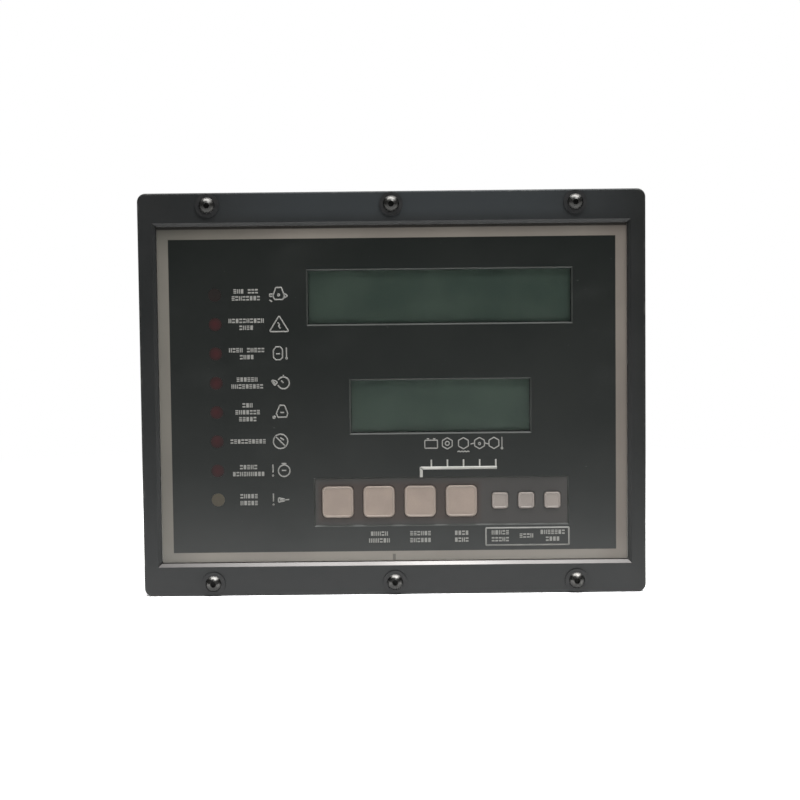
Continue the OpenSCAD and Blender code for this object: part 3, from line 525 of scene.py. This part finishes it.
scale_top = display_foot - 15.5
scale_bar = display_foot - 20.5
leg_x = middle("key_large_3")[0] + 0.8
leg_h = 5.5
bar_end = scale_x[-1] + 0.7
bar_w = 1.8
tick_w = 0.0009
ticks = [line((x, scale_top), (x, scale_bar + bar_w / 2)) for x in scale_x]
bar = line((leg_x, scale_bar - leg_h), (leg_x, scale_bar), (bar_end, scale_bar))
print_lines("scale_ticks", ticks, tick_w, bright_ink)
print_lines("scale_bar", [bar], bar_w / 1000, bright_ink, corner_r=0.0001)

group_left = middle("key_small_1")[0] - 8.6
group_right = middle("key_small_3")[0] + 9.8
group_top = 1000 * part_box("keypad_frame")[0].z + 2.8
group_foot = group_top - 10.4
group_line_w = 0.0009
group_box = loop((group_left, group_top), (group_right, group_top),
                 (group_right, group_foot), (group_left, group_foot))
print_lines("key_group_box", [group_box], group_line_w, ink, corner_r=0.0003)

# Legend marks: short bars of the same pale ink, screened with the symbols beside lamps and under keys.
# Each mark is a pair or a stack of bars, or one block, and spells nothing.
block_tree, tree, given = geometry_tree("legend_blocks", finish="Material")
size = tree.add("GeometryNodeInputNamedAttribute", {"data_type": "FLOAT_VECTOR"}, {"Name": "size"})
block = tree.add("GeometryNodeMeshCube", sockets={"Size": (1, 1, 1)})
close_tree(tree, tree.add("GeometryNodeInstanceOnPoints", sockets={
    "Points": given["Geometry"], "Instance": block, "Scale": size}), given["finish"])

mark_pitch = 2.15
mark_w = 1.7
line_pitch = 4.15
cap_h = 2.6
mark_shapes = [
    [(0, 0.33, 1.0, 0.34), (0, -0.33, 1.0, 0.34)],
    [(-0.32, 0, 0.36, 1.0), (0.32, 0, 0.36, 1.0)],
    [(0, 0.38, 1.0, 0.24), (0, 0, 1.0, 0.24), (0, -0.38, 1.0, 0.24)],
    [(0, 0, 0.9, 1.0)],
]
dice = random.Random(7)


def legend(x, z, lines):
    """Bars of a legend centred on x and z: each line is a list of the lengths of its words."""
    bars = []
    for row, words in enumerate(lines):
        line_z = z + ((len(lines) - 1) / 2 - row) * line_pitch
        mark_x = x - (sum(words) + len(words) - 2) * mark_pitch / 2
        for word in words:
            for _ in range(word):
                for dx, dz, w, h in dice.choice(mark_shapes):
                    bars.append((mark_x + dx * mark_w, line_z + dz * cap_h, w * mark_w, h * cap_h))
                mark_x += mark_pitch
            mark_x += mark_pitch
    return bars


row_words = [
    [[3, 3], [8]], [[10], [4]], [[4, 5], [4]], [[6], [9]],
    [[3], [7], [5]], [[10]], [[5], [9]], [[5], [5]],
]
bars = [b for words, z in zip(row_words, rows) for b in legend(legend_x, z, words)]
key_foot = group_top - 4.8
key_words = {"key_large_2": [[5], [6]], "key_large_3": [[6], [6]], "key_large_4": [[4], [4]],
             "key_small_1": [[5], [5]], "key_small_2": [[4]], "key_small_3": [[7], [4]]}
bars += [b for key, words in key_words.items() for b in legend(middle(key)[0], key_foot, words)]
marks = points_mesh("legend_places", [(x / 1000, print_y - ink_t / 2, z / 1000) for x, z, w, h in bars])
sizes = marks.attributes.new("size", "FLOAT_VECTOR", "POINT")
sizes.data.foreach_set("vector", [v for x, z, w, h in bars for v in (w / 1000, ink_t, h / 1000)])
realise("legend_marks", marks, block_tree, "overlay_film", finish=ink.material)

# Windows: clear acrylic panes behind the overlay, in front of the two displays.
# They let light through and mirror a little of the room, more at a slant.
pane = Finish("window_acrylic")
mirror = pane.add("ShaderNodeFresnel", sockets={"IOR": 1.25})
haze = pane.noise(14.0, 5.0).rise(0.45, 0.8)
gloss = pane.add("ShaderNodeBsdfGlossy", sockets={"Roughness": 0.12})
clear = pane.add("ShaderNodeBsdfTransparent", sockets={"Color": (0.93, 0.97, 0.95, 1.0)})
pane_mix = pane.add("ShaderNodeMixShader", sockets={0: mirror + haze * 0.01, 1: clear, 2: gloss})
pane.feed(pane.nodes["Material Output"].inputs["Surface"], pane_mix)
wear(pane, "upper_window", "lower_window")

# Displays: liquid-crystal glass in black sheet frames, over white backlights and green boards.
# Unlit, the glass shows as a dull grey-green that drifts a little over its face.
lcd_glass = Finish("lcd_glass", specular_ior_level=0.2)
drift = lcd_glass.noise(40.0, 3.0).rise(0.3, 0.7)
lcd_glass.set("Base Color", lcd_glass.blend(drift, srgb(92, 102, 96), srgb(106, 115, 108)))
lcd_glass.set("Roughness", drift * 0.08 + 0.28)
wear(lcd_glass, "upper_lcd_glass", "lower_lcd_glass")
lcd_sheet = surface("lcd_sheet", srgb(34, 36, 35), srgb(44, 46, 44), 0.45)
wear(lcd_sheet, "upper_lcd_frame", "lower_lcd_frame")
white_plastic = surface("backlight_plastic", srgb(222, 222, 216), srgb(234, 234, 228), 0.4)
wear(white_plastic, "upper_lcd_backlight", "lower_lcd_backlight")

# Circuit boards: green resist over copper tracks, on brass posts, with zinc-plated screws.
# The display board carries the diodes, and the main board the relays and the power side.
resist = Finish("board_resist", specular_ior_level=0.6)
tracks = abs(resist.noise(9.0, 1.0, (1, 1, 2.4)) - 0.5).rise(0.01, 0.03)
resist.set("Base Color", resist.blend(tracks, srgb(42, 116, 70), srgb(24, 82, 48)))
resist.set("Roughness", resist.noise(3.0) * 0.15 + 0.25)
resist.bump(1.0 - tracks, 0.03)
wear(resist, "upper_lcd_board", "lower_lcd_board", "display_board", "main_board")
brass = surface("post_brass", srgb(186, 160, 104), srgb(205, 181, 124), 0.3, 4.0, 0.3, 0.004, metallic=1.0)
wear(brass, "lcd_standoffs", "board_standoffs", "board_spacers")
zinc = surface("screw_zinc", srgb(168, 168, 166), srgb(198, 198, 194), 0.32, 3.0, 0.3, 0.004, metallic=1.0)
wear(zinc, "lcd_screws", "board_screws")
black_plastic = surface("black_plastic", srgb(34, 34, 36), srgb(46, 46, 47), 0.45, 10.0, 0.5, 0.008)
wear(black_plastic, "lcd_headers", "board_link", "relays", "control_chips")
blue_plastic = surface("coil_plastic", srgb(44, 58, 104), srgb(56, 70, 118), 0.4)
wear(blue_plastic, "sensing_transformers")
sleeve = surface("capacitor_sleeve", srgb(28, 38, 66), srgb(38, 48, 78), 0.35)
wear(sleeve, "power_capacitors")

# Indicators: moulded lenses pressed into the overlay, seven dark red and one amber.
# Each is deepest in its middle, where a diode stands behind it; the top one has gone dull.
red_lens = Finish("red_lens", specular_ior_level=0.3)
patches = red_lens.noise(12.0, 4.0)
tint = red_lens.mottle(patches, srgb(54, 28, 29), srgb(62, 31, 32))
off_x = red_lens.x - lamp_x
off_z = (red_lens.z - lamp_top).fold(row_pitch)
rim = off_x.hypot(off_z).rise(0.5, 5.0)
dull = red_lens.z.rise(rows[1], rows[0])
red_lens.set("Base Color", red_lens.blend((rim * 0.7).most(dull * 0.85), tint, srgb(32, 33, 31)))
red_lens.set("Roughness", patches * 0.12 + 0.24)
wear(red_lens, "red_lenses")
amber_lens = surface("amber_lens", srgb(80, 75, 64), srgb(88, 82, 70), 0.3, 12.0, 2.0, 0.002,
                     specular_ior_level=0.3)
wear(amber_lens, "amber_lens")
red_diode = surface("red_diode", srgb(140, 22, 22), srgb(164, 30, 28), 0.2)
wear(red_diode, "red_leds")
amber_diode = surface("amber_diode", srgb(204, 132, 34), srgb(220, 150, 46), 0.2)
wear(amber_diode, "amber_led")

# Keypad: a moulded strip with seven keys of warm grey plastic, over a film of snap domes.
# The keys are held by their flanges, and grime has gathered round the large ones.
first_key, last_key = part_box("key_large_1"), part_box("key_large_4")
keypad_plastic = Finish("keypad_plastic")
patches = keypad_plastic.noise(30.0, 4.0)
fine = keypad_plastic.noise(0.5)
past_left = keypad_plastic.x - 1000 * first_key[0].x
past_right = 1000 * last_key[1].x - keypad_plastic.x
past_foot = keypad_plastic.z - 1000 * first_key[0].z
past_top = 1000 * first_key[1].z - keypad_plastic.z
grime = past_left.least(past_right).rise(-2.5, 1.0) * past_foot.least(past_top).rise(-2.5, 1.5)
strip = keypad_plastic.mottle(patches * 0.7 + fine * 0.3, srgb(47, 46, 44), srgb(56, 54, 52))
keypad_plastic.set("Base Color", keypad_plastic.blend(grime * 0.6, strip, srgb(52, 38, 30)))
keypad_plastic.set("Roughness", patches * 0.12 + 0.44)
keypad_plastic.bump(fine, 0.01)
wear(keypad_plastic, "keypad_frame")
wear(zinc, "keypad_screws")
key_front = 1000 * first_key[0].y


def key_finish(name, dark, light, lip_tone):
    """Key plastic, mottled on the sunk face and in a tone of its own on the raised lip."""
    finish = Finish(name)
    patches = finish.noise(14.0, 4.0)
    fine = finish.noise(0.5)
    face = finish.mottle(patches * 0.7 + fine * 0.3, dark, light)
    rim = (1.0 - (finish.y - key_front).rise(0.08, 0.24)) * (finish.noise(5.0, 4.0) * 0.6 + 0.6)
    finish.set("Base Color", finish.blend(rim, face, lip_tone))
    finish.set("Roughness", patches * 0.12 + 0.39)
    finish.bump(fine, 0.006)
    return finish


large_plastic = key_finish(
    "large_key_plastic", srgb(154, 140, 130), srgb(168, 152, 140), srgb(156, 144, 134))
wear(large_plastic, *[f"key_large_{i}" for i in range(1, 5)])
small_plastic = key_finish(
    "small_key_plastic", srgb(146, 138, 132), srgb(158, 149, 142), srgb(150, 142, 136))
wear(small_plastic, *[f"key_small_{i}" for i in range(1, 4)])
dome_film = surface("dome_film", srgb(186, 186, 178), srgb(202, 202, 194), 0.3)
wear(dome_film, "dome_array")

# Carrier plate: aluminium sheet, punched and left bare, behind the overlay.
# It holds the overlay, the displays, the keypad and the boards.
carrier_sheet = surface("carrier_sheet", srgb(176, 176, 172), srgb(194, 194, 190), 0.35, 12.0, 0.3, 0.004,
                        metallic=1.0)
wear(carrier_sheet, "carrier_plate")

# Rear housing: a die-cast aluminium tray with cooling ribs, shot-blasted and left bare.
# Its flange is screwed through the seal into the back of the bezel, and four ejector pins left rings.
casting = Finish("housing_casting", metallic=0.85)
blast = casting.noise(0.9, 4.0)
stain = casting.noise(60.0, 7.0)
pin_x = 92.0
pin_z = 66.0
pin_middle_z = -4.0
pin_r = 4.0
off_x = abs(abs(casting.x) - pin_x)
off_z = abs(abs(casting.z - pin_middle_z) - pin_z)
pin_edge = 1.0 - abs(off_x.hypot(off_z) - pin_r).rise(0.1, 0.35)
cast = casting.blend(stain.rise(0.3, 0.75), srgb(154, 154, 151), srgb(170, 170, 166))
casting.set("Base Color", casting.blend(pin_edge * 0.5, cast, srgb(112, 112, 110)))
casting.set("Roughness", stain * 0.16 + blast * 0.1 + 0.4)
casting.bump(blast * 0.3 - pin_edge, 0.1)
wear(casting, "rear_housing")
wear(rubber, "housing_gasket")
wear(zinc, "housing_screws")

# Harness connector: a glass-filled moulding with a keyed shroud and forty pins round a jackscrew.
# It is screwed to the housing over a red silicone seal.
connector_plastic = surface("connector_plastic", srgb(38, 38, 40), srgb(50, 50, 51), 0.5, 14.0, 0.4, 0.012)
wear(connector_plastic, "harness_connector")
red_rubber = surface("seal_silicone", srgb(128, 48, 38), srgb(146, 58, 46), 0.6)
wear(red_rubber, "connector_gasket")
wear(brass, "connector_pins", "jackscrew_insert")
wear(zinc, "connector_screws")

# Ground terminal: a brass stud with its nut and a zinc-plated washer, at a lower corner of the housing.
# The stud's head sits inside the wall, and its thread shows past the nut.
wear(brass, "ground_stud", "ground_nut")
wear(zinc, "ground_washer")
stud_thread_r = 0.0029
stud_pitch = 0.001
stud_ridge = 0.0004
stud_end = 0.0008
stud_thread_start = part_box("ground_nut")[1].y + stud_ridge
stud_thread_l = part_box("ground_stud")[1].y - stud_end - stud_thread_start
stud_x, stud_z = [v / 1000 for v in middle("ground_stud")]
axes = [(stud_x, stud_thread_start, stud_z)]
realise("ground_stud_thread", points_mesh("ground_stud_axis", axes), thread_tree, "pin_brass",
        radius=stud_thread_r, turns=stud_thread_l / stud_pitch, length=stud_thread_l,
        ridge=stud_ridge, finish=brass.material)

# Stage: a pale floor, a soft lamp overhead and another in front of it, in a white room.
# The camera and what mirrors the room see white there, and the floor near the object keeps its shadow.
floor_half = 6.0
floor_z = cad_box[0].z
floor_mesh = bpy.data.meshes.new("floor")
corners = [(-1, -1), (1, -1), (1, 1), (-1, 1)]
places = [(x * floor_half, y * floor_half, floor_z) for x, y in corners]
floor_mesh.from_pydata(places, [], [(0, 1, 2, 3)])
floor = bpy.data.objects.new("floor", floor_mesh)
bpy.context.scene.collection.objects.link(floor)
floor_paint = Finish("floor_paint")


def looking(tree, behind):
    """1 for the camera's rays, and for those by which gloss and glass show what is behind the object."""
    rays = tree.add("ShaderNodeLightPath").socket.node.outputs
    camera_ray, glossy_ray, clear_ray = [
        Value(tree, rays[f"Is {kind} Ray"]) for kind in ("Camera", "Glossy", "Transmission")]
    return camera_ray.most(glossy_ray.most(clear_ray) * behind)


grey_front_y = -450.0
white_front_y = -100.0
shadow_r = 350.0
white_r = 900.0
seen = looking(floor_paint, floor_paint.y.rise(grey_front_y, white_front_y))
distance = floor_paint.add(
    "ShaderNodeVectorMath", {"operation": "LENGTH"}, {0: floor_paint.place}, "Value")
floor_grey = (0.6, 0.6, 0.6, 1.0)
white_when_lit = (2.15, 2.15, 2.15, 1.0)
full_white = (1.0, 1.0, 1.0, 1.0)
plain = floor_paint.add("ShaderNodeBsdfDiffuse", sockets={"Color": floor_grey})
pale = floor_paint.add("ShaderNodeBsdfDiffuse", sockets={"Color": white_when_lit})
white = floor_paint.add("ShaderNodeEmission", sockets={"Color": full_white})
near = floor_paint.add("ShaderNodeMixShader", sockets={0: seen, 1: plain, 2: pale})
far = distance.rise(shadow_r, white_r) * seen
shown = floor_paint.add("ShaderNodeMixShader", sockets={0: far, 1: near, 2: white})
floor_paint.feed(floor_paint.nodes["Material Output"].inputs["Surface"], shown)
floor_mesh.materials.append(floor_paint.material)


def softbox(name, place, target, size, watts):
    """A rectangular lamp at a place, turned to a target."""
    lamp = bpy.data.lights.new(name, "AREA")
    lamp.shape = "RECTANGLE"
    lamp.size, lamp.size_y = size
    lamp.energy = watts
    box = bpy.data.objects.new(name, lamp)
    box.location = place
    box.rotation_euler = (Vector(target) - Vector(place)).to_track_quat("-Z", "Y").to_euler()
    bpy.context.scene.collection.objects.link(box)


softbox("top_softbox", place=(0.1, -0.24, 0.9), target=(0.1, -0.22, 0.0), size=(1.5, 0.5), watts=12.0)
softbox("front_softbox", place=(0.45, -1.0, 1.4), target=(0.0, 0.0, 0.0), size=(0.9, 0.6), watts=16.0)

world = bpy.data.worlds.new("studio")
bpy.context.scene.world = world
world.use_nodes = True
room = Tree(world.node_tree)
ahead = room.axes(room.add("ShaderNodeTexCoord", out="Generated"))[1]
backdrop = ahead.rise(-0.1, 0.5)
light = looking(room, backdrop).most(backdrop * 0.5 + 0.08)
black = (0.0, 0.0, 0.0, 1.0)
room.feed(world.node_tree.nodes["Background"].inputs["Color"], room.blend(light, black, full_white))

# Camera: a short telephoto lens, 1.2 metres from the front and a little above its middle.
# Its lens, place and turn were solved from the photograph.
camera_data = bpy.data.cameras.new("camera")
camera_data.sensor_width = 36.0
camera_data.sensor_fit = "HORIZONTAL"
camera_data.lens = 89.71
camera = bpy.data.objects.new("camera", camera_data)
camera.location = (0.00828, -1.19412, 0.08681)
camera.rotation_euler = [math.radians(a) for a in (85.639, 0.623, 0.157)]
bpy.context.scene.collection.objects.link(camera)
bpy.context.scene.camera = camera
bpy.context.scene.view_settings.view_transform = "Standard"
